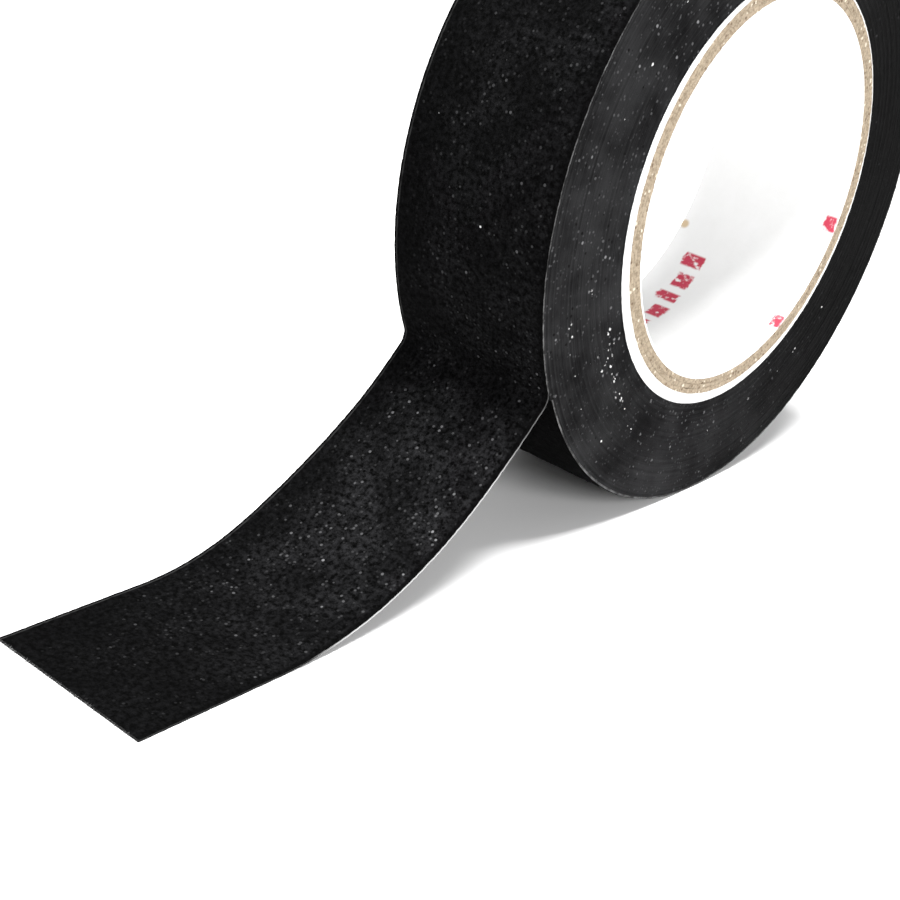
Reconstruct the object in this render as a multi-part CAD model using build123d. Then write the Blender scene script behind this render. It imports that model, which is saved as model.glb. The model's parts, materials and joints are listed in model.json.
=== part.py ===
"""A roll of black cloth grip tape on a paper core, standing on its rim with its free end peeled off.

Millimetres, +Z up. The origin is the centre of the core's bore, halfway across the tape's width.
+Y runs along the bore, and the free end of the tape leaves towards -X.
"""
from build123d import *
from math import cos, radians, sin
import os

# The tape: a cloth backing with a tacky rubber coat on its inner side
TAPE_WIDTH = 25.0
BACKING_THICKNESS = 0.22
ADHESIVE_THICKNESS = 0.16
TAPE_THICKNESS = BACKING_THICKNESS + ADHESIVE_THICKNESS

# The winding. Its outline is a spiral: it loses one tape thickness in each turn.
WINDING_RADIUS = 46.0
WINDING_CENTRE = (-1.8, -0.2)

# The core: a white liner, three plies of chipboard and a white wrap, which sits off centre on them
BORE_RADIUS = 27.4
LINER_THICKNESS = 0.3
BOARD_PLY_THICKNESS = 0.75
BOARD_PLY_NAMES = ("inner", "middle", "outer")
WRAP_RADIUS = 30.9
WRAP_CENTRE = (-0.72, -0.42)

# The free end: it leaves the winding below the horizontal, curves down in two arcs and lies flat
PEEL_ANGLE = 208.5
PEEL_GAP_ANGLE = 0.5
PEEL_STANDOFF = 0.15
FLAT_LENGTH = 20.2
LOWER_BEND_RADIUS = 43.0
LOWER_BEND_ANGLE = 25.0
UPPER_BEND_RADIUS = 75.5
FOLD_GAP = 0.3

HALF_TURN = 180.0
DOWNWARDS = -90.0


def point_on(centre, radius, angle):
    """The point at an angle, in degrees from +X towards +Z, on a circle in the XZ plane."""
    return (centre[0] + radius * cos(radians(angle)), centre[1] + radius * sin(radians(angle)))


# The spiral's second half turns about a centre moved by half a thickness, so it meets the first in a tangent
LOW_CENTRE = point_on(WINDING_CENTRE, TAPE_THICKNESS / 2, PEEL_ANGLE - HALF_TURN)
LOW_RADIUS = WINDING_RADIUS - TAPE_THICKNESS / 2
FLOOR = LOW_CENTRE[1] - LOW_RADIUS


def arc(centre, radius, start, end):
    """An arc about a centre between two angles in degrees."""
    middle = (start + end) / 2
    return ThreePointArc(*(point_on(centre, radius, angle) for angle in (start, middle, end)))


def joined(edges):
    """The edges with straight lines between the end of each and the start of the next, all round."""
    lines = []
    for edge, following in zip(edges, edges[1:] + edges[:1]):
        gap = (edge @ 1, following @ 0)
        if (gap[0] - gap[1]).length > 1e-6:
            lines.append(Line(*gap))
    return edges + lines


def across_the_width(profile):
    """A solid as wide as the tape from a profile drawn with X and Z."""
    return extrude(Plane.XZ * profile, amount=TAPE_WIDTH / 2, both=True)


def disc(centre, radius):
    return Pos(*centre) * Circle(radius)


def turn_edges(depth, start=PEEL_ANGLE):
    """One turn of the winding at a depth below its surface, from the peel line over the top."""
    opposite = PEEL_ANGLE - HALF_TURN
    first = arc(WINDING_CENTRE, WINDING_RADIUS - depth, start, opposite)
    second = arc(LOW_CENTRE, LOW_RADIUS - depth, opposite, opposite - HALF_TURN)
    return [first, second]


def reversed_edges(edges):
    """The same run of arcs walked the other way."""
    return [ThreePointArc(edge @ 1, edge @ 0.5, edge @ 0) for edge in reversed(edges)]


def core_tube(inner_radius, thickness):
    """A paper ply round the bore."""
    return across_the_width(Circle(inner_radius + thickness) - Circle(inner_radius))


def board_plies():
    """The chipboard plies by name, from the bore outwards, and the radius outside the last."""
    plies = {}
    radius = BORE_RADIUS + LINER_THICKNESS
    for name in BOARD_PLY_NAMES:
        plies[f"core_board_ply_{name}"] = core_tube(radius, BOARD_PLY_THICKNESS)
        radius += BOARD_PLY_THICKNESS
    return plies, radius


def white_wrap(board_radius):
    """The white paper wrap, thick towards the free end and thin on the far side."""
    return across_the_width(disc(WRAP_CENTRE, WRAP_RADIUS) - Circle(board_radius))


def wound_turns():
    """All the turns under the last one, with the step where the last turn goes under the peel line."""
    outline = make_face(joined(turn_edges(TAPE_THICKNESS)))
    return across_the_width(outline - disc(WRAP_CENTRE, WRAP_RADIUS))


def last_turn_layer(top, bottom):
    """A layer of the last turn between two depths."""
    start = PEEL_ANGLE - PEEL_GAP_ANGLE
    edges = turn_edges(top, start) + reversed_edges(turn_edges(bottom, start))
    return across_the_width(make_face(joined(edges)))


def bend_centres():
    """The centres of the two bends, lower first, and the angle at which the upper one ends."""
    peel = peel_point()
    joint_angle = DOWNWARDS + LOWER_BEND_ANGLE
    lower_z = FLOOR + LOWER_BEND_RADIUS
    shift = LOWER_BEND_RADIUS - UPPER_BEND_RADIUS
    upper_z = lower_z + shift * sin(radians(joint_angle))
    middle_radius = UPPER_BEND_RADIUS - TAPE_THICKNESS / 2
    rise = (peel[1] - upper_z) / middle_radius
    run = (1 - rise**2) ** 0.5
    upper_x = peel[0] - middle_radius * run
    lower_x = upper_x - shift * cos(radians(joint_angle))
    end_angle = DOWNWARDS + Vector(0, -1).get_angle(Vector(run, rise))
    return (lower_x, lower_z), (upper_x, upper_z), end_angle


def peel_point():
    """The hinge line at which the free end leaves the winding, halfway through its thickness."""
    return point_on(WINDING_CENTRE, WINDING_RADIUS + PEEL_STANDOFF, PEEL_ANGLE)


def curved_tail_layer(bottom, top):
    """A layer of the hanging stretch between two heights above the tape's underside."""
    lower, upper, end_angle = bend_centres()
    joint_angle = DOWNWARDS + LOWER_BEND_ANGLE

    def run_at(height):
        """The stretch at one height: a short flat lead-in, the lower bend and the upper bend."""
        lead_in = Line((lower[0] - FOLD_GAP, FLOOR + height), (lower[0], FLOOR + height))
        lower_arc = arc(lower, LOWER_BEND_RADIUS - height, DOWNWARDS, joint_angle)
        upper_arc = arc(upper, UPPER_BEND_RADIUS - height, joint_angle, end_angle)
        return lead_in, lower_arc, upper_arc

    underside = list(run_at(bottom))
    lead_in, lower_arc, upper_arc = run_at(top)
    upperside = reversed_edges([lower_arc, upper_arc]) + [Line(lead_in @ 1, lead_in @ 0)]
    return across_the_width(make_face(joined(underside + upperside)))


def flat_tail_layer(bottom, top):
    """A layer of the flat free end between two heights above the tape's underside."""
    lower, _, _ = bend_centres()
    right = lower[0] - 2 * FOLD_GAP
    left = right - FLAT_LENGTH
    middle = ((left + right) / 2, FLOOR + (bottom + top) / 2)
    return across_the_width(Pos(*middle) * Rectangle(right - left, top - bottom))


def build():
    """Every sub-part by its name."""
    parts, board_radius = board_plies()
    parts["core_inner_liner"] = core_tube(BORE_RADIUS, LINER_THICKNESS)
    parts["core_white_wrap"] = white_wrap(board_radius)
    parts["wound_tape"] = wound_turns()
    parts["last_turn_backing"] = last_turn_layer(0, BACKING_THICKNESS)
    parts["last_turn_adhesive"] = last_turn_layer(BACKING_THICKNESS, TAPE_THICKNESS)
    parts["curved_tail_adhesive"] = curved_tail_layer(0, ADHESIVE_THICKNESS)
    parts["curved_tail_backing"] = curved_tail_layer(ADHESIVE_THICKNESS, TAPE_THICKNESS)
    parts["flat_tail_adhesive"] = flat_tail_layer(0, ADHESIVE_THICKNESS)
    parts["flat_tail_backing"] = flat_tail_layer(ADHESIVE_THICKNESS, TAPE_THICKNESS)
    return parts


os.makedirs("parts", exist_ok=True)
for name, solid in build().items():
    export_step(solid, f"parts/{name}.step")

lower_bend, upper_bend, peel_end = bend_centres()
print("peel hinge (x, z):", peel_point())
print("fold hinge (x, z):", (lower_bend[0] - 1.5 * FOLD_GAP, FLOOR + TAPE_THICKNESS))
print("upper bend ends at", peel_end, "degrees")
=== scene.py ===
"""The grip tape roll's looks: wound cloth tape on a paper core, its free end peeled off and laid flat.

Shapes are worked out in millimetres in the part's own frame, and meshes are made in metres.
"""
import json
import math

import bmesh
import bpy
import numpy as np
from mathutils import Matrix, Vector


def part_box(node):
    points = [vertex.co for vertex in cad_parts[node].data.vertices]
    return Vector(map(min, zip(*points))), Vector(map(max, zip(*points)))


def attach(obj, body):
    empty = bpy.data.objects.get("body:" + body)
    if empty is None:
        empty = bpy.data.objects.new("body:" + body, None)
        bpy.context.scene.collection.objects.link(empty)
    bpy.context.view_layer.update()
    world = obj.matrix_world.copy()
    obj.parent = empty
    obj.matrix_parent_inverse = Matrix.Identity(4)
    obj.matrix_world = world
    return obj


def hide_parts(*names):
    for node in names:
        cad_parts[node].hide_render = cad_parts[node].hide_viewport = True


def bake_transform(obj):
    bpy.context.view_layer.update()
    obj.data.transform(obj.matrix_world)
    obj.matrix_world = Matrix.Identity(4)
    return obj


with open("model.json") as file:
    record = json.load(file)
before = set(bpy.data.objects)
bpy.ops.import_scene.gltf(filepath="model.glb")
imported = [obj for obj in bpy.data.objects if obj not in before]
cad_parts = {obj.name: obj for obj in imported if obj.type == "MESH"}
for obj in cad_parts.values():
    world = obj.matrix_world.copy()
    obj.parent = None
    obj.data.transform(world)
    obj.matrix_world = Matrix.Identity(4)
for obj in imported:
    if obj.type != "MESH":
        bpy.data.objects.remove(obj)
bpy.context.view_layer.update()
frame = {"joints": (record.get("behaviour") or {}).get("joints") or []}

MM = 0.001
SEED = 7
SHARP_ANGLE = math.radians(50)

# The tape, as in the part
TAPE_WIDTH = 25.0
TAPE_THICKNESS = 0.38
LOWER_BEND_RADIUS = 43.0
LOWER_BEND_ANGLE = 25.0
UPPER_BEND_RADIUS = 75.5
PEEL_STANDOFF = 0.15
PEEL_CURVE_LENGTH = 1.8

# How far from each hinge a bend would reach; make_strip works out these spans but nothing uses them
PEEL_BLEND = 1.6
FOLD_BLEND = 2.0

# How finely the strip is meshed: along its path, along its rows, and across its upper and lower faces
PATH_STEP = 0.1
STRIP_STEP = 0.45
TOP_POINTS = 56
LOW_POINTS = 26

# The strip's relief: its upper face is lowered, and grains stand up from it
EDGE_ROUNDING = 0.05
TOP_LOWERED = 0.03
TOP_UNEVENNESS = 0.008
GRAIN_SHARE = 0.16
GRAIN_HEIGHT = (0.03, 0.09)
EDGE_WANDER = 0.04
EDGE_WANDER_ROWS = 40
FAR_EDGE_LIFT = 0.5
LIFT_START = 24
THREAD_COUNT = 90

# The wound turns
TURN_COUNT = 40
TURN_STEPS = 400
GROOVE_DEPTH = 0.07
TURN_SHIFT = 0.05
TURN_SHIFT_STEPS = (37, 400)
RAGGED_CUT = 0.018
EDGE_SHARES = (0.0, 0.22, 0.78)
HALF_TURN = 180.0
FULL_TURN = 360.0

# The camera, in millimetres and radians
CAMERA_PLACE = (-203.158, -122.868, 59.417)
CAMERA_YAW = 0.9098
CAMERA_PITCH = -0.43307
CAMERA_ROLL = 0.14534
CAMERA_LENS = 66.38


def box_of(node):
    """The lowest and highest corners of a CAD node, in millimetres."""
    low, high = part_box(node)
    return np.array(low) / MM, np.array(high) / MM


def unit(angle):
    """Unit vectors in the XZ plane at angles in degrees from +X towards +Z."""
    return np.stack([np.cos(np.radians(angle)), np.sin(np.radians(angle))], axis=-1)


def angle_of(vector):
    return math.degrees(math.atan2(vector[1], vector[0]))


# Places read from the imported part
JOINTS = {joint["name"]: np.array(joint["pos_m"])[[0, 2]] / MM for joint in frame["joints"]}
PEEL_LINE = JOINTS["tail_peel"]
FOLD_LINE = JOINTS["tail_fold"]
TURN_LOW, TURN_HIGH = box_of("last_turn_backing")
FLOOR = TURN_LOW[2]
WRAP_LOW, WRAP_HIGH = box_of("core_white_wrap")
WRAP_CENTRE = (WRAP_LOW[[0, 2]] + WRAP_HIGH[[0, 2]]) / 2
WRAP_RADIUS = (WRAP_HIGH[0] - WRAP_LOW[0]) / 2


def winding_circle():
    """The centre and radius of the winding's upper half, and its peel angle in degrees."""
    centre = (TURN_LOW[[0, 2]] + TURN_HIGH[[0, 2]]) / 2
    for _ in range(4):
        peel_angle = angle_of(PEEL_LINE - centre) % FULL_TURN
        shrink = TAPE_THICKNESS / 2 * (1 - unit(peel_angle - HALF_TURN)[0])
        centre_x = (TURN_HIGH[0] + TURN_LOW[0] + shrink) / 2
        radius = centre_x - TURN_LOW[0]
        centre = np.array([centre_x, TURN_HIGH[2] - radius])
    return centre, radius, peel_angle


WINDING_CENTRE, WINDING_RADIUS, PEEL_ANGLE = winding_circle()
LOW_CENTRE = WINDING_CENTRE + TAPE_THICKNESS / 2 * unit(PEEL_ANGLE - HALF_TURN)
LOW_RADIUS = WINDING_RADIUS - TAPE_THICKNESS / 2


def add_object(name, points, faces, materials, face_materials=None, uv=None):
    """A mesh object from points in millimetres, with its faces turned outwards and shaded smooth."""
    mesh = bpy.data.meshes.new(name)
    mesh.from_pydata((np.asarray(points) * MM).tolist(), [], [list(face) for face in faces])
    for material in materials:
        mesh.materials.append(material)
    if face_materials is not None:
        mesh.polygons.foreach_set("material_index", np.asarray(face_materials, np.int32))
    if uv is not None:
        corners = np.zeros(len(mesh.loops), np.int32)
        mesh.loops.foreach_get("vertex_index", corners)
        layer = mesh.uv_layers.new(name="tape")
        layer.data.foreach_set("uv", np.asarray(uv, np.float32)[corners].ravel())
    work = bmesh.new()
    work.from_mesh(mesh)
    bmesh.ops.remove_doubles(work, verts=work.verts, dist=1e-7)
    bmesh.ops.recalc_face_normals(work, faces=work.faces)
    for face in work.faces:
        face.smooth = True
    for edge in work.edges:
        edge.smooth = len(edge.link_faces) == 2 and edge.calc_face_angle() < SHARP_ANGLE
    work.to_mesh(mesh)
    work.free()
    piece = bpy.data.objects.new(name, mesh)
    bpy.context.scene.collection.objects.link(piece)
    return piece


def grid_faces(numbers):
    """Quads between the neighbours in a grid of vertex numbers."""
    corners = (numbers[:-1, :-1], numbers[1:, :-1], numbers[1:, 1:], numbers[:-1, 1:])
    return np.stack([corner.ravel() for corner in corners], axis=1)


def smooth_noise(rng, count, period):
    """A smooth random curve of that many samples, between about -1 and 1."""
    knots = rng.uniform(-1, 1, int(count / period) + 3)
    places = np.arange(count) / period
    return np.interp(places, np.arange(len(knots)), knots)


# ---------------------------------------------------------------- materials


def new_material(name, **surface):
    """A material with its Principled sockets set, and its node tree and shader."""
    material = bpy.data.materials.new(name)
    material.use_nodes = True
    tree = material.node_tree
    shader = tree.nodes["Principled BSDF"]
    for socket, value in surface.items():
        shader.inputs[socket.replace("_", " ")].default_value = value
    return material, tree, shader


def add_node(tree, kind, inputs=(), output=0, **settings):
    """A node with its settings, its sockets set or linked by name or number, and one of its outputs."""
    node = tree.nodes.new(kind)
    for name, value in settings.items():
        setattr(node, name, value)
    for socket, value in dict(inputs).items():
        if isinstance(value, bpy.types.NodeSocket):
            tree.links.new(value, node.inputs[socket])
        else:
            node.inputs[socket].default_value = value
    return node.outputs[output]


def math_node(tree, operation, first, second=0.0):
    return add_node(tree, "ShaderNodeMath", {0: first, 1: second}, operation=operation)


def band(tree, value, low, high, to_low=0.0, to_high=1.0):
    """The value eased from one range to another and held at both ends."""
    inputs = {"Value": value, "From Min": low, "From Max": high, "To Min": to_low, "To Max": to_high}
    return add_node(tree, "ShaderNodeMapRange", inputs, interpolation_type="SMOOTHSTEP")


def mixed(tree, share, first, second):
    """Two colours mixed by a share."""
    inputs = {0: share, 6: first, 7: second}
    return add_node(tree, "ShaderNodeMix", inputs, output=2, data_type="RGBA")


def noise(tree, place, scale, detail=2.0, roughness=0.5):
    inputs = {"Vector": place, "Scale": scale, "Detail": detail, "Roughness": roughness}
    return add_node(tree, "ShaderNodeTexNoise", inputs)


def scattered(tree, place, scale, share, radius):
    """Round specks, one at most in each cell of a scattered grid, in that share of the cells."""
    cells = {"Vector": place, "Scale": scale}
    distance = add_node(tree, "ShaderNodeTexVoronoi", cells)
    colour = add_node(tree, "ShaderNodeTexVoronoi", cells, output="Color")
    draw = add_node(tree, "ShaderNodeSeparateColor", {0: colour})
    chosen = math_node(tree, "LESS_THAN", draw, share)
    dot = band(tree, distance, radius, radius * 0.6)
    return math_node(tree, "MULTIPLY", chosen, dot)


def bumped(tree, shader, height, distance, strength=1.0):
    inputs = {"Height": height, "Distance": distance * MM, "Strength": strength}
    normal = add_node(tree, "ShaderNodeBump", inputs)
    tree.links.new(normal, shader.inputs["Normal"])


def grey(value, tint=1.0):
    return (value, value, value * tint, 1)


def object_place(tree, scale=1 / MM):
    """The object's own coordinates in millimetres."""
    place = add_node(tree, "ShaderNodeTexCoord", output="Object")
    return add_node(tree, "ShaderNodeVectorMath", {0: place, 3: scale}, operation="SCALE")


def tape_place(tree):
    """The strip's coordinates in millimetres: across the tape and along it from its free end."""
    return add_node(tree, "ShaderNodeUVMap", uv_map="tape")


def parts_of(tree, place):
    """The three parts of a vector."""
    node = tree.nodes.new("ShaderNodeSeparateXYZ")
    tree.links.new(place, node.inputs[0])
    return node.outputs


# Layers of grains on the cloth and on the roll's sides: cells in a millimetre, share of them filled,
# radius in cells and grey
GRAIN_LAYERS = ((1.5, 0.25, 0.34, 0.03), (1.25, 0.17, 0.3, 0.07), (0.9, 0.07, 0.22, 0.17))
SIDE_GRAIN_LAYERS = ((1.7, 0.35, 0.32, 0.036), (1.25, 0.2, 0.3, 0.06), (0.9, 0.08, 0.24, 0.15))


def gritty_colour(tree, place, density):
    """Black grit: blotches, pits, grey grains and painted glints, thicker where the density is high."""
    blotches = band(tree, noise(tree, place, 1.3, 3.0, 0.75), 0.33, 0.72)
    raised = mixed(tree, density, grey(0.0035, 1.06), grey(0.019, 1.06))
    ground = mixed(tree, blotches, grey(0.001), raised)
    pits = scattered(tree, place, 1.2, 0.15, 0.36)
    ground = mixed(tree, pits, ground, grey(0.0012))
    for scale, share, radius, tone in GRAIN_LAYERS:
        grains = math_node(tree, "MULTIPLY", scattered(tree, place, scale, share, radius), density)
        ground = mixed(tree, grains, ground, grey(tone, 1.03))
    # Painted glints: rare specks coloured near white
    flecks = scattered(tree, place, 0.6, 0.004, 0.13)
    return mixed(tree, flecks, ground, grey(0.6))


# Places on the cloth in millimetres: the rim without grit at the near edge, the painted highlight, a
# paler line just inside the far edge, how far past the flat end the painted shade that darkens it
# reaches, and the span of painted shade under the roll, which is measured along the tape from the peel
# line
BARE_RIM = (0.4, 1.0)
EDGE_HIGHLIGHT_INSET = 0.45
EDGE_HIGHLIGHT_HALF_WIDTH = (0.14, 0.06)
FLAT_END_SHADE_REACH = 28.0
UNDERSIDE_SHADE_SPAN = (195.0, 225.0)


def cloth_density(tree, place, across, along):
    """How thick the grit stands: clustered, thin at edges and on the roll, and as painted shade on the
    flat end.
    """
    density = band(tree, noise(tree, place, 0.16, 2.0), 0.36, 0.62, 0.35, 1.0)
    near_edge = -TAPE_WIDTH / 2
    thinner = (
        band(tree, across, TAPE_WIDTH * 0.5, TAPE_WIDTH * 0.1, 0.25, 1.0),
        band(tree, across, near_edge + BARE_RIM[0], near_edge + BARE_RIM[1]),
        # Painted shade: the flat end is darkened by thinning its grit
        band(tree, along, FLAT_END * 0.2, FLAT_END + FLAT_END_SHADE_REACH, 0.15, 1.0),
        band(tree, along, PEEL_DISTANCE + 3.0, PEEL_DISTANCE - 8.0, 0.45, 1.0),
    )
    for share in thinner:
        density = math_node(tree, "MULTIPLY", density, share)
    return density


def cloth_material():
    """The tape's black outer face, with a painted highlight along its far edge and painted shade under
    the roll.
    """
    material, tree, shader = new_material(
        "black_grip_cloth", Roughness=0.95, Specular_IOR_Level=0.02
    )
    place = tape_place(tree)
    across, along, _ = parts_of(tree, place)
    colour = gritty_colour(tree, place, cloth_density(tree, place, across, along))
    # Painted highlight: the thread mask draws a paler, uneven line just inside the far edge
    highlight_offset = math_node(tree, "SUBTRACT", across, TAPE_WIDTH / 2 - EDGE_HIGHLIGHT_INSET)
    thread = band(tree, math_node(tree, "ABSOLUTE", highlight_offset), *EDGE_HIGHLIGHT_HALF_WIDTH)
    uneven = band(tree, noise(tree, place, 0.5), 0.3, 0.6, 0.25, 1.0)
    painted_edge_highlight = math_node(tree, "MULTIPLY", thread, uneven)
    colour = mixed(tree, painted_edge_highlight, colour, grey(0.028))
    # Painted shade: the cloth turns near black where it runs under the roll
    start, end = (PEEL_DISTANCE + distance for distance in UNDERSIDE_SHADE_SPAN)
    painted_underside_shade = band(tree, along, start, end, 0.0, 0.85)
    colour = mixed(tree, painted_underside_shade, colour, grey(0.0004))
    tree.links.new(colour, shader.inputs["Base Color"])
    weave = noise(tree, place, 2.4, 4.0, 0.7)
    bumped(tree, shader, weave, 0.12)
    return material


def cut_edge_material(name, wound_grey, highlight_grey):
    """The tape's cut edge: dull where wound or lying flat, and a painted highlight along the hanging
    stretch.
    """
    material, tree, shader = new_material(name, Roughness=0.7, Specular_IOR_Level=0.15)
    _, along, _ = parts_of(tree, tape_place(tree))
    # Painted highlight: the near cut edge of the hanging stretch is coloured pale, and a dimmer painted
    # highlight starts just below the peel line
    hanging = band(tree, along, PEEL_DISTANCE - 4.0, PEEL_DISTANCE - 13.0)
    lifted = band(tree, along, FLAT_END + 4.0, FLAT_END + 12.0)
    near = band(tree, parts_of(tree, object_place(tree))[1], 0.0, -5.0)
    share = math_node(tree, "MULTIPLY", math_node(tree, "MULTIPLY", hanging, lifted), near)
    half = band(tree, along, PEEL_DISTANCE + 0.5, PEEL_DISTANCE - 2.0)
    lit = math_node(tree, "MULTIPLY", math_node(tree, "MULTIPLY", half, lifted), near)
    worn = band(tree, noise(tree, object_place(tree), 0.5, 4.0, 0.75), 0.36, 0.72)
    wound = band(tree, along, PEEL_DISTANCE - 1.0, PEEL_DISTANCE + 1.0, 0.05, 1.0)
    dull = mixed(tree, math_node(tree, "MULTIPLY", worn, wound), grey(0.004), grey(wound_grey))
    dull = mixed(tree, lit, dull, grey(highlight_grey * 0.2))
    tree.links.new(mixed(tree, share, dull, grey(highlight_grey)), shader.inputs["Base Color"])
    bumped(tree, shader, noise(tree, object_place(tree), 5.0, 3.0), 0.04)
    return material


def adhesive_material():
    """The tacky rubber coat on the tape's inner face."""
    material, tree, shader = new_material(
        "tacky_rubber_coat", Roughness=0.5, Specular_IOR_Level=0.12
    )
    place = tape_place(tree)
    streaks = add_node(tree, "ShaderNodeMapping", {"Vector": place, "Scale": (3.0, 0.15, 1.0)})
    pulled = noise(tree, streaks, 1.0, 4.0, 0.6)
    tree.links.new(mixed(tree, pulled, grey(0.01), grey(0.028)), shader.inputs["Base Color"])
    tree.links.new(band(tree, pulled, 0.3, 0.7, 0.4, 0.65), shader.inputs["Roughness"])
    bumped(tree, shader, noise(tree, place, 1.6, 4.0, 0.65), 0.05)
    return material


def wound_material():
    """The sides of the wound turns: dark, dusty cut edges with grey grains, and painted shade towards
    +X.
    """
    material, tree, shader = new_material(
        "wound_tape_edges", Roughness=0.9, Specular_IOR_Level=0.04
    )
    place = object_place(tree)
    x, _, z = parts_of(tree, place)
    centre = (WRAP_CENTRE[0], 0, WRAP_CENTRE[1])
    flat = add_node(tree, "ShaderNodeCombineXYZ", {0: x, 2: z})
    inputs = {0: flat, 1: centre}
    reach = add_node(tree, "ShaderNodeVectorMath", inputs, output="Value", operation="DISTANCE")
    rings = add_node(tree, "ShaderNodeCombineXYZ", {0: math_node(tree, "MULTIPLY", reach, 2.2)})
    patchy = noise(tree, place, 0.12, 3.0, 0.6)
    tone = noise(tree, rings, 1.0, 2.0)
    worn = math_node(tree, "MULTIPLY", patchy, math_node(tree, "ADD", tone, 0.5))
    base = mixed(tree, band(tree, worn, 0.2, 0.75), grey(0.0025, 1.06), grey(0.019, 1.04))
    pits = scattered(tree, place, 1.3, 0.07, 0.34)
    base = mixed(tree, pits, base, grey(0.004))
    dust = band(tree, noise(tree, place, 0.2, 2.0), 0.38, 0.62, 0.45, 1.0)
    for scale, share, radius, tone in SIDE_GRAIN_LAYERS:
        grains = math_node(tree, "MULTIPLY", scattered(tree, place, scale, share, radius), dust)
        base = mixed(tree, grains, base, grey(tone, 1.03))
    # Painted shade: the sides are coloured darker towards +X
    painted_shade_to_right = band(tree, x, -14.0, 34.0, 0.0, 0.92)
    base = mixed(tree, painted_shade_to_right, base, grey(0.003))
    tree.links.new(base, shader.inputs["Base Color"])
    bumped(tree, shader, noise(tree, place, 3.2, 4.0, 0.7), 0.09)
    return material


def chipboard_material(name, light, dark):
    """Speckled tan chipboard."""
    material, tree, shader = new_material(name, Roughness=0.9, Specular_IOR_Level=0.15)
    place = object_place(tree)
    fibres = noise(tree, place, 2.2, 5.0, 0.7)
    base = mixed(tree, band(tree, fibres, 0.36, 0.62), dark, light)
    flecks = scattered(tree, place, 1.5, 0.22, 0.4)
    base = mixed(tree, flecks, base, (0.15, 0.105, 0.07, 1))
    pale = scattered(tree, place, 1.2, 0.2, 0.35)
    base = mixed(tree, pale, base, (0.6, 0.54, 0.44, 1))
    tree.links.new(base, shader.inputs["Base Color"])
    bumped(tree, shader, noise(tree, place, 3.0, 5.0, 0.75), 0.12)
    return material


def paper_material(name, white, roughness, specular):
    """Plain white paper with a faint fibre."""
    material, tree, shader = new_material(name, Roughness=roughness, Specular_IOR_Level=specular)
    place = object_place(tree)
    cloudy = noise(tree, place, 0.35, 4.0, 0.6)
    base = mixed(tree, cloudy, grey(white * 0.93, 0.99), grey(white))
    return material, tree, shader, place, base


def wrap_material():
    """The white wrap round the chipboard."""
    material, tree, shader, place, base = paper_material("white_wrap_paper", 0.72, 0.8, 0.2)
    scuffs = band(tree, noise(tree, place, 1.4, 4.0, 0.7), 0.6, 0.78)
    tree.links.new(mixed(tree, scuffs, base, (0.55, 0.52, 0.48, 1)), shader.inputs["Base Color"])
    bumped(tree, shader, noise(tree, place, 3.0, 3.0), 0.05)
    return material


def liner_material():
    """The glazed white inner liner, with plain red dashes and a tan spot."""
    material, tree, shader, place, base = paper_material("glazed_liner_paper", 0.78, 0.45, 0.3)
    x, y, z = parts_of(tree, place)
    angle = math_node(tree, "ARCTAN2", z, x)
    wobble = math_node(tree, "MULTIPLY", math_node(tree, "SUBTRACT", noise(tree, place, 0.9), 0.5), 1.1)
    for start, end, low, high in RED_DASHES:
        level = math_node(tree, "ADD", y, wobble)
        inside = (
            band(tree, angle, math.radians(start - 0.5), math.radians(start + 0.5)),
            band(tree, angle, math.radians(end + 0.5), math.radians(end - 0.5)),
            band(tree, level, low - 0.2, low + 0.2),
            band(tree, level, high + 0.2, high - 0.2),
        )
        share = band(tree, noise(tree, place, 1.2, 3.0, 0.5), 0.27, 0.5)
        for edge in inside:
            share = math_node(tree, "MULTIPLY", share, edge)
        base = mixed(tree, share, base, (0.46, 0.04, 0.075, 1))
    spot_x, spot_z = BORE_RADIUS * unit(TAN_SPOT[0])
    inputs = {0: place, 1: (spot_x, TAN_SPOT[1], spot_z)}
    away = add_node(tree, "ShaderNodeVectorMath", inputs, output="Value", operation="DISTANCE")
    base = mixed(tree, band(tree, away, 1.0, 0.4), base, (0.52, 0.4, 0.26, 1))
    tree.links.new(base, shader.inputs["Base Color"])
    bumped(tree, shader, noise(tree, place, 0.8, 4.0, 0.6), 0.03)
    return material


# ---------------------------------------------------------------- the strip


def arc_points(centre, radius, start, end):
    """Points at every path step along an arc between two angles in degrees."""
    length = math.radians(abs(end - start)) * radius
    angles = np.linspace(start, end, max(2, int(length / PATH_STEP)))
    return np.asarray(centre) + radius * unit(angles)


def eased_corner(before, after):
    """The two runs with the corner between them rounded off over the peel curve's length."""
    cut = int(PEEL_CURVE_LENGTH / PATH_STEP)
    first, last, corner = before[-cut], after[cut], (before[-1] + after[0]) / 2
    share = np.linspace(0, 1, 2 * cut)[:, None]
    curve = (1 - share) ** 2 * first + 2 * share * (1 - share) * corner + share**2 * last
    return np.concatenate([before[:-cut], curve[1:-1], after[cut:]])


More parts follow.
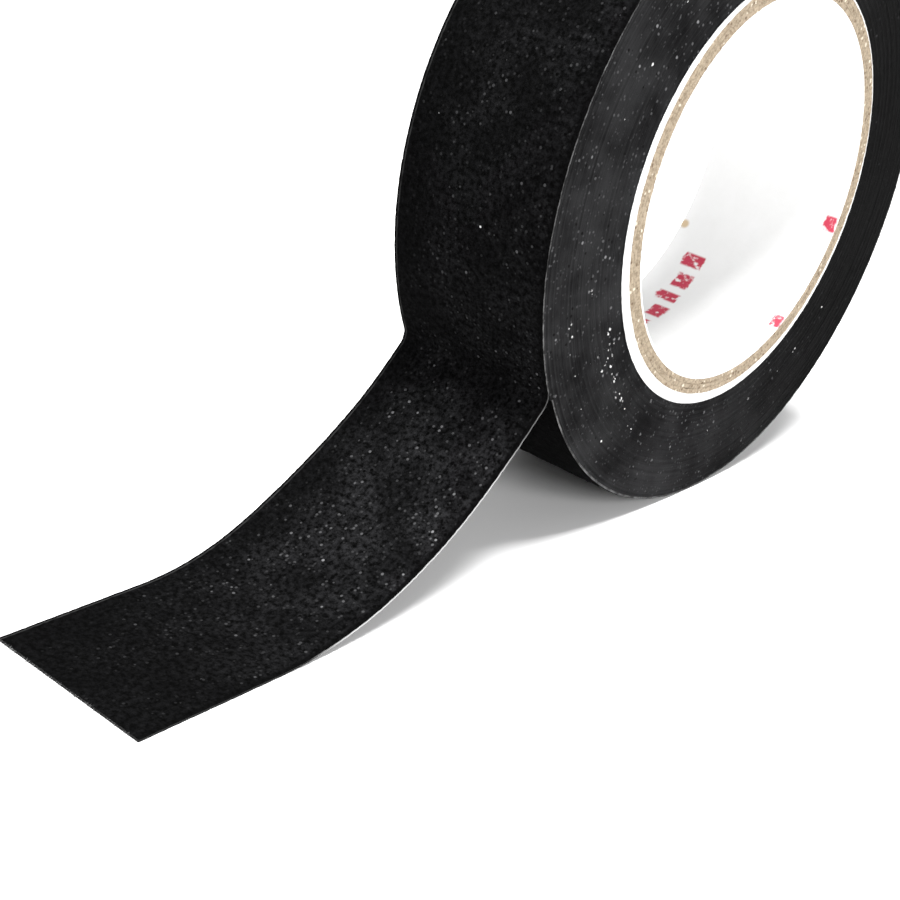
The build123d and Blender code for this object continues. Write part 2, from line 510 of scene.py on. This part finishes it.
def strip_path():
    """The middle of the tape's thickness in X and Z, from its free end to the end of the last turn."""
    half = TAPE_THICKNESS / 2
    flat_low, _ = box_of("flat_tail_backing")
    curved_low, _ = box_of("curved_tail_backing")
    lower = np.array([fold_lead_end(curved_low), FLOOR + LOWER_BEND_RADIUS])
    joint_angle = LOWER_BEND_ANGLE - 90
    upper = lower + (LOWER_BEND_RADIUS - UPPER_BEND_RADIUS) * unit(joint_angle)
    tip = np.array([[flat_low[0], FLOOR + half]])
    length = int((lower[0] - flat_low[0]) / PATH_STEP)
    flat = tip + np.linspace(0, 1, length)[:, None] * [lower[0] - flat_low[0], 0]
    lower_run = arc_points(lower, LOWER_BEND_RADIUS - half, -90, joint_angle)
    upper_run = arc_points(upper, UPPER_BEND_RADIUS - half, joint_angle, angle_of(PEEL_LINE - upper))
    tail = np.concatenate([flat, lower_run[1:], upper_run[1:]])
    opposite = PEEL_ANGLE - HALF_TURN
    first = arc_points(WINDING_CENTRE, WINDING_RADIUS - half, PEEL_ANGLE, opposite)
    second = arc_points(LOW_CENTRE, LOW_RADIUS - half, opposite, opposite - HALF_TURN)
    turn = np.concatenate([first, second[1:]])
    split = len(flat) + len(lower_run)
    return eased_corner(tail, turn), split, len(tail)


def fold_lead_end(curved_low):
    """Where the lower bend begins: the hanging stretch's short flat lead-in ends there."""
    return curved_low[0] + 2 * (FOLD_LINE[0] - curved_low[0])


def distances_along(points):
    steps = np.linalg.norm(np.diff(points, axis=0), axis=1)
    return np.concatenate([[0], np.cumsum(steps)])


PATH, PATH_SPLIT, PATH_PEEL = strip_path()
PATH_DISTANCES = distances_along(PATH)
SPLIT_DISTANCE = PATH_DISTANCES[PATH_SPLIT]
PEEL_DISTANCE = PATH_DISTANCES[PATH_PEEL]
FLAT_END = FOLD_LINE[0] - PATH[0][0]
FULL_LENGTH = PATH_DISTANCES[-1]


def strip_section():
    """The tape's outline across its width: places across, heights, and each span's material number."""
    half, edge = TAPE_THICKNESS / 2 - 0.004, TAPE_WIDTH / 2
    inset = edge - EDGE_ROUNDING
    top_y = np.linspace(-inset, inset, TOP_POINTS)
    low_y = np.linspace(inset, -inset, LOW_POINTS)
    right = [(edge, half - 0.07), (edge - 0.015, -0.03), (edge, -half + EDGE_ROUNDING)]
    left = [(-across, height) for across, height in reversed(right)]
    points = [(y, half) for y in top_y] + right + [(y, -half) for y in low_y] + left
    cloth, cloth_edge, rubber_edge, rubber = range(4)
    kinds = [cloth] * (TOP_POINTS - 1) + [cloth, cloth_edge, rubber_edge, rubber_edge]
    kinds += [rubber] * (LOW_POINTS - 1) + [rubber_edge, rubber_edge, cloth_edge, cloth]
    return np.array(points), np.array(kinds), len(top_y)


def strip_surface():
    """Every point of the strip's skin in rows along it, and the rows' distances from the free end."""
    rng = np.random.default_rng(SEED)
    section, _, top_count = strip_section()
    count = int(FULL_LENGTH / STRIP_STEP)
    rows = np.linspace(0, FULL_LENGTH, count)
    place = np.stack([np.interp(rows, PATH_DISTANCES, PATH[:, axis]) for axis in (0, 1)], axis=1)
    along = np.gradient(place, axis=0)
    along /= np.linalg.norm(along, axis=1)[:, None]
    normal = np.stack([-along[:, 1], along[:, 0]], axis=1)
    across = np.tile(section[:, 0], (count, 1))
    height = np.tile(section[:, 1], (count, 1))
    grain = rng.random((count, top_count)) < GRAIN_SHARE
    raised = rng.uniform(*GRAIN_HEIGHT, grain.shape)
    relief = np.where(grain, raised, rng.normal(0, TOP_UNEVENNESS, grain.shape))
    relief[:, [0, -1]] = 0
    height[:, :top_count] += relief - TOP_LOWERED
    ragged = rng.normal(0, RAGGED_CUT, (count, 2))
    wander = [smooth_noise(rng, count, EDGE_WANDER_ROWS) for _ in range(2)]
    wander = np.stack(wander, axis=1) * EDGE_WANDER
    for side, sign in enumerate((-1, 1)):
        beside = np.sign(section[:, 0]) == sign
        near = np.abs(section[:, 0]) > TAPE_WIDTH / 2 - 0.3
        across[:, beside & near] += (ragged + wander)[:, [side]]
    free = np.clip((rows - LIFT_START) / (PEEL_DISTANCE - LIFT_START - 4), 0, 1)
    lift = FAR_EDGE_LIFT * np.sin(np.pi * free) ** 2
    height += lift[:, None] * across / (TAPE_WIDTH / 2)
    x = place[:, [0]] + normal[:, [0]] * height
    z = place[:, [1]] + normal[:, [1]] * height
    return np.stack([x, across, z], axis=2), rows


def strip_piece(name, skin, rows, start, end, materials):
    """The stretch of the strip between two distances, closed at both ends."""
    section, kinds, _ = strip_section()
    chosen = np.flatnonzero((rows >= start) & (rows <= end))
    points = skin[chosen].reshape(-1, 3)
    width = len(section)
    numbers = np.arange(len(points)).reshape(-1, width)
    looped = np.concatenate([numbers, numbers[:, :1]], axis=1)
    faces = [tuple(face) for face in grid_faces(looped)]
    face_kinds = list(np.tile(kinds, len(chosen) - 1))
    for row in (numbers[0], numbers[-1]):
        faces += cap_faces(row)
        face_kinds += [1] * (len(faces) - len(face_kinds))
    along = np.repeat(rows[chosen], width)
    uv = np.stack([points[:, 1], along], axis=1)
    return add_object(name, points, faces, materials, face_kinds, uv)


def cap_faces(row):
    """Triangles and quads that close one end of the strip, between its upper and lower edges."""
    _, _, top_count = strip_section()
    top, rest = row[:top_count], row[top_count:]
    right, low, left = rest[:3], rest[3:-3][::-1], rest[-3:]
    faces = [(top[-1], *right, low[-1]), (top[0], *left[::-1], low[0])]
    i = j = 0
    while i < len(top) - 1 or j < len(low) - 1:
        ahead = (i + 1) / (len(top) - 1) <= (j + 1) / (len(low) - 1)
        if i < len(top) - 1 and (ahead or j == len(low) - 1):
            faces.append((top[i], top[i + 1], low[j]))
            i += 1
        else:
            faces.append((top[i], low[j + 1], low[j]))
            j += 1
    return faces


def make_strip():
    """The last turn with the hanging stretch, and the free end that lies flat, shaped as they rest."""
    skin, rows = strip_surface()
    materials = [
        cloth_material(),
        # The last number of each cut edge is the grey of its painted highlight
        cut_edge_material("cloth_cut_edge", 0.13, 0.3),
        cut_edge_material("rubber_cut_edge", 0.09, 0.48),
        adhesive_material(),
    ]
    split = rows[np.argmin(np.abs(rows - SPLIT_DISTANCE))]
    turn = strip_piece("last_turn_and_peeled_stretch", skin, rows, split, FULL_LENGTH, materials)
    free = strip_piece("free_end_of_tape", skin, rows, 0, split, materials)
    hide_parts("last_turn_backing", "last_turn_adhesive")
    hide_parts("curved_tail_backing", "curved_tail_adhesive")
    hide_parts("flat_tail_backing", "flat_tail_adhesive")
    outwards = unit(PEEL_ANGLE)
    start = WINDING_CENTRE + (WINDING_RADIUS + PEEL_STANDOFF) * outwards
    end = start + PEEL_BLEND * outwards
    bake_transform(turn)
    start, end = FOLD_LINE + [FOLD_BLEND, 0], FOLD_LINE - [FOLD_BLEND, 0]
    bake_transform(free)
    threads = frayed_threads()


# ---------------------------------------------------------------- threads


def thread_mesh(points, radius):
    """The corners and faces of one thin tapered thread."""
    sides = 4
    corners, faces = [], []
    for step, point in enumerate(points):
        thickness = radius * (1 - 0.6 * step / (len(points) - 1))
        for side in range(sides):
            turn = math.tau * side / sides
            corners.append(point + thickness * np.array([0.3, math.cos(turn), math.sin(turn)]))
    for step in range(len(points) - 1):
        for side in range(sides):
            after = (side + 1) % sides
            a, b = step * sides + side, step * sides + after
            faces.append((a, b, b + sides, a + sides))
    faces.append(tuple(range(sides)))
    faces.append(tuple(range(len(corners) - sides, len(corners))))
    return corners, faces


def frayed_threads():
    """Loose threads at the square cut of the free end, more of them at its far corner."""
    rng = np.random.default_rng(SEED + 1)
    flat_low, _ = box_of("flat_tail_backing")
    all_points, all_faces = [], []
    for number in range(THREAD_COUNT):
        spread = rng.random() ** (0.45 if number % 2 else 1.0)
        y = -TAPE_WIDTH / 2 + 0.2 + spread * (TAPE_WIDTH - 0.4)
        z = FLOOR + rng.uniform(0.14, 0.34)
        length = rng.uniform(0.15, 0.5) + rng.uniform(0.3, 1.3) * (rng.random() < 0.35 * spread**4)
        sideways, rise = rng.normal(0, 0.25), rng.uniform(-0.1, 0.3)
        steps = np.linspace(0, 1, 5)[:, None]
        way = np.array([-length, sideways * length, 0]) * steps
        way[:, 2] = np.maximum(rise * length * steps[:, 0] - 0.1 * steps[:, 0] ** 2, 0.08 - (z - FLOOR))
        corners, faces = thread_mesh(np.array([flat_low[0] + 0.12, y, z]) + way, 0.04)
        all_faces += [tuple(corner + len(all_points) for corner in face) for face in faces]
        all_points += corners
    material, tree, shader = new_material("loose_black_thread", Roughness=0.8, Specular_IOR_Level=0.2)
    shade = noise(tree, object_place(tree), 1.0)
    tree.links.new(mixed(tree, shade, grey(0.01), grey(0.2)), shader.inputs["Base Color"])
    threads = add_object("frayed_threads", all_points, all_faces, [material])
    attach(threads, "flat_tail")
    return threads


# ---------------------------------------------------------------- the winding


# Strings of painted glints, small pale flecks: distance out from the core, first and last angle in
# degrees, and how many
GLINT_STRINGS = (
    (3.0, 204, 212, 8),
    (4.1, 209, 219, 10),
    (4.6, 221, 229, 9),
    (6.0, 190, 240, 8),
    (10.5, 195, 250, 7),
    (0.5, 253, 256, 2),
    (5.0, 262, 330, 6),
    (8.0, 120, 180, 5),
)


def turn_lines():
    """How many turns from the core each edge line is, for each line and step round it."""
    share = np.linspace(0, 1, TURN_STEPS + 1)
    lines = [np.zeros_like(share)]
    for number in range(TURN_COUNT):
        spread = 0.03 + 0.47 * number / (TURN_COUNT - 1)
        lines.append(number + 0.5 - 0.5 * np.cos(np.pi * np.clip(share / spread, 0, 1)))
    return np.array(lines)


def turn_levels():
    """The edge lines with the lines between them that crown each turn, as turns from the core."""
    lines = turn_lines()
    levels = []
    for line, following in zip(lines, lines[1:]):
        levels += [line + share * (following - line) for share in EDGE_SHARES]
    return np.array(levels + [lines[-1]])


def side_places(sign, shape, shift, ragged, worn):
    """How far across the tape every point of one side lies: grooves between turns, and ragged cuts."""
    y = np.zeros(shape)
    for row in range(shape[0]):
        turn, part = divmod(row, len(EDGE_SHARES))
        run = turn * TURN_STEPS + np.arange(TURN_STEPS + 1)
        before = shift[np.maximum(run - TURN_STEPS, 0)]
        offset = (before + shift[run]) / 2 if part == 0 else shift[run]
        depth = GROOVE_DEPTH * worn[turn] if part == 0 else 0.02
        y[row] = sign * (TAPE_WIDTH / 2 - depth + ragged[run, part]) + offset
    y[0, 0] = y[0, -1]
    y[1 : len(EDGE_SHARES) + 1, 0] = y[0, -1]
    return y


def make_wound_turns():
    """Every turn under the last one as a true spiral, each with crowned, slightly ragged edges."""
    rng = np.random.default_rng(SEED + 2)
    levels = turn_levels()
    angles = PEEL_ANGLE - FULL_TURN + np.linspace(0, FULL_TURN, TURN_STEPS + 1)
    inner = WRAP_CENTRE + WRAP_RADIUS * unit(angles)
    outer = WINDING_CENTRE + (WINDING_RADIUS - TAPE_THICKNESS) * unit(angles)
    place = inner + (outer - inner) * levels[:, :, None] / TURN_COUNT
    unrolled = (TURN_COUNT + 2) * TURN_STEPS
    shift = TURN_SHIFT * sum(smooth_noise(rng, unrolled, steps) for steps in TURN_SHIFT_STEPS)
    ragged = rng.normal(0, RAGGED_CUT, (2, unrolled, len(EDGE_SHARES)))
    worn = rng.uniform(0.25, 1.0, TURN_COUNT + 1)
    sides = []
    for side, sign in enumerate((-1, 1)):
        y = side_places(sign, levels.shape, shift, ragged[side], worn)
        sides.append(np.stack([place[:, :, 0], y, place[:, :, 1]], axis=2))
    points = np.concatenate([side.reshape(-1, 3) for side in sides])
    numbers = np.arange(len(points)).reshape(2, *levels.shape)
    walls = [numbers[:, 0, :], numbers[:, -1, :], numbers[:, -len(EDGE_SHARES) - 1 :, -1]]
    faces = np.concatenate([grid_faces(grid) for grid in [numbers[0], numbers[1], *walls]])
    piece = add_object("wound_turns", points, faces, [wound_material()])
    drop_collapsed_faces(piece)
    finish_on_roll(piece, "wound_tape")


def drop_collapsed_faces(piece):
    """Clears the faces without area that are left where the first turn starts from nothing."""
    work = bmesh.new()
    work.from_mesh(piece.data)
    bmesh.ops.dissolve_degenerate(work, dist=1e-8, edges=work.edges)
    work.to_mesh(piece.data)
    work.free()


def make_painted_glints():
    """Painted glints: small pale flecks on the turns' near edges, strung along them beside the core."""
    rng = np.random.default_rng(SEED + 4)
    points, faces = [], []
    for turn, first, last, count in GLINT_STRINGS:
        for angle in rng.uniform(first, last, count):
            reach = WRAP_RADIUS + turn + rng.normal(0, 0.35)
            centre = WRAP_CENTRE + reach * unit(angle)
            size = rng.uniform(0.12, 0.34) * np.array([1.2, 0.9, 0.5])
            along, outwards = unit(angle + 90), unit(angle)
            for corner in ((-1, 0, 0), (1, 0, 0), (0, -1, 0), (0, 1, 0), (0, 0, -1), (0, 0, 1)):
                bend = np.array(corner) * size * rng.uniform(0.6, 1.2)
                place = centre + along * bend[0] + outwards * bend[1]
                points.append((place[0], -TAPE_WIDTH / 2 + 0.06 + bend[2], place[1]))
            start = len(points) - 6
            for a, b in ((0, 2), (2, 1), (1, 3), (3, 0)):
                faces += [(start + a, start + b, start + 4), (start + b, start + a, start + 5)]
    material, tree, shader = new_material("painted_glint", Roughness=0.3, Specular_IOR_Level=0.5)
    # Painted glints: the flecks are coloured pale grey to near white
    tone = noise(tree, object_place(tree), 1.5)
    shades = mixed(tree, band(tree, tone, 0.4, 0.6), grey(0.12), grey(0.62))
    tree.links.new(shades, shader.inputs["Base Color"])
    flecks = add_object("painted_glint_flecks", points, faces, [material])
    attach(flecks, "roll")


def finish_on_roll(piece, node):
    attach(piece, "roll")
    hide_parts(node)


# ---------------------------------------------------------------- the core

LINER_THICKNESS = 0.3
BORE_RADIUS = box_of("core_inner_liner")[0][0] * -1 - LINER_THICKNESS
CORE_STEPS = 360
END_SHARES = np.array([0, 0.12, 0.37, 0.63, 0.88, 1])
END_DEPTHS = np.array([0.09, 0.03, 0.02, 0.02, 0.03, 0.09])
WALL_INSET = 0.3

# Light and dark chipboard, and how much darker the middle ply is
BOARD_TONES = ((0.37, 0.305, 0.225), (0.23, 0.18, 0.125))
MIDDLE_PLY_DARKER = 0.07

# A tan spot on the liner: its place in degrees round the bore and in millimetres across it
TAN_SPOT = (-34, 11.9)

# Plain red dashes on the liner: start and end in degrees round the bore, and low and high across it
RED_DASHES = (
    (-80, -76, 4.8, 8.6),
    (-73, -67, 4.4, 7.2),
    (-64, -60, 4.8, 8.6),
    (-57, -51, 4.8, 7.8),
    (-48, -43, 5.0, 8.8),
    (-58, -53, -12.4, -10.8),
    (-21, -16, -12.4, -10.4),
)


def make_tube(name, inner, outer, material, rng, rough, wall_steps=1):
    """A paper tube between two circles, each a centre and a radius, with soft, uneven ends."""
    half = TAPE_WIDTH / 2
    angles = np.linspace(0, FULL_TURN, CORE_STEPS, endpoint=False)
    inside = np.asarray(inner[0]) + inner[1] * unit(angles)
    outside = np.asarray(outer[0]) + outer[1] * unit(angles)
    wall_end = half - WALL_INSET
    inner_wall = np.linspace(wall_end, -wall_end, wall_steps + 1)
    shares = [*END_SHARES, 1, 1, *END_SHARES[::-1], *([0] * len(inner_wall))]
    levels = [*(-half + END_DEPTHS), -wall_end, wall_end, *(half - END_DEPTHS)[::-1], *inner_wall]
    end = [rough] * len(END_SHARES)
    loose = [*end, 0, 0, *end, *([0] * len(inner_wall))]
    rings = []
    for share, level, amount in zip(shares, levels, loose):
        place = inside + (outside - inside) * share
        y = level + rng.normal(0, 1, CORE_STEPS) * amount
        rings.append(np.stack([place[:, 0], np.clip(y, -half, half), place[:, 1]], axis=1))
    points = np.concatenate(rings)
    numbers = np.arange(len(points)).reshape(len(rings), CORE_STEPS)
    looped = np.concatenate([numbers, numbers[:1]])
    looped = np.concatenate([looped, looped[:, :1]], axis=1)
    return add_object(name, points, grid_faces(looped), [material])


def make_core():
    """The liner, the three chipboard plies and the white wrap."""
    rng = np.random.default_rng(SEED + 3)
    origin = (0.0, 0.0)
    radius = BORE_RADIUS + LINER_THICKNESS
    liner = make_tube(
        "inner_liner", (origin, BORE_RADIUS), (origin, radius), liner_material(), rng, 0.01, 24
    )
    finish_on_roll(liner, "core_inner_liner")
    for ply in ("inner", "middle", "outer"):
        node = f"core_board_ply_{ply}"
        reach = box_of(node)[1][0]
        shade = 1 - MIDDLE_PLY_DARKER * (ply == "middle")
        tones = [tuple(part * shade for part in tone) + (1,) for tone in BOARD_TONES]
        board = chipboard_material(f"chipboard_{ply}", *tones)
        tube = make_tube(f"board_ply_{ply}", (origin, radius), (origin, reach), board, rng, 0.045)
        finish_on_roll(tube, node)
        radius = reach
    wrap = make_tube(
        "white_wrap", (origin, radius), (WRAP_CENTRE, WRAP_RADIUS), wrap_material(), rng, 0.015
    )
    finish_on_roll(wrap, "core_white_wrap")


# ---------------------------------------------------------------- the stage


FLOOR_REACH = 2500.0
FLOOR_GAP = 0.03
WORLD_STRENGTH = 0.42


def make_floor():
    """A plain white floor."""
    material, tree, shader = new_material("white_floor", Roughness=0.7, Specular_IOR_Level=0.2)
    tone = noise(tree, object_place(tree), 0.01)
    tree.links.new(mixed(tree, tone, grey(0.9), grey(0.92)), shader.inputs["Base Color"])
    corners = ((-1, -1), (1, -1), (1, 1), (-1, 1))
    points = [(x * FLOOR_REACH, y * FLOOR_REACH, FLOOR - FLOOR_GAP) for x, y in corners]
    floor = add_object("floor", points, [(0, 1, 2, 3)], [material])


def add_area_light(name, place, aim, size, power):
    """A soft square light in millimetres, aimed at a point."""
    light = bpy.data.lights.new(name, "AREA")
    light.size = size * MM
    light.energy = power
    lamp = bpy.data.objects.new(name, light)
    bpy.context.scene.collection.objects.link(lamp)
    lamp.location = Vector(place) * MM
    way = Vector(aim) - Vector(place)
    lamp.rotation_euler = way.to_track_quat("-Z", "Y").to_euler()


def light_scene():
    """An even white surround, a large soft light above and a weak one low in front."""
    world = bpy.data.worlds.new("studio")
    bpy.context.scene.world = world
    world.use_nodes = True
    background = world.node_tree.nodes["Background"]
    background.inputs["Color"].default_value = (1, 1, 1, 1)
    background.inputs["Strength"].default_value = WORLD_STRENGTH
    add_area_light("overhead_softbox", (-20, -110, 900), (0, 0, 0), 350, 19)
    add_area_light("front_fill", (-300, -700, 320), (-30, 0, 10), 300, 4.5)
    bpy.context.scene.view_settings.view_transform = "Standard"


def add_camera():
    """The camera at the photograph's viewing angle."""
    forward = Vector((
        math.sin(CAMERA_YAW) * math.cos(CAMERA_PITCH),
        math.cos(CAMERA_YAW) * math.cos(CAMERA_PITCH),
        math.sin(CAMERA_PITCH),
    ))
    level = Vector((math.cos(CAMERA_YAW), -math.sin(CAMERA_YAW), 0))
    upright = level.cross(forward)
    right = math.cos(CAMERA_ROLL) * level + math.sin(CAMERA_ROLL) * upright
    up = math.cos(CAMERA_ROLL) * upright - math.sin(CAMERA_ROLL) * level
    camera = bpy.data.cameras.new("camera")
    camera.lens = CAMERA_LENS
    camera.sensor_width = 36.0
    camera.clip_start = 0.005
    viewer = bpy.data.objects.new("camera", camera)
    bpy.context.scene.collection.objects.link(viewer)
    turn = Matrix((right, up, -forward)).transposed().to_4x4()
    viewer.matrix_world = Matrix.Translation(Vector(CAMERA_PLACE) * MM) @ turn
    bpy.context.scene.camera = viewer


add_camera()
light_scene()
make_floor()
make_core()
make_wound_turns()
make_painted_glints()
make_strip()
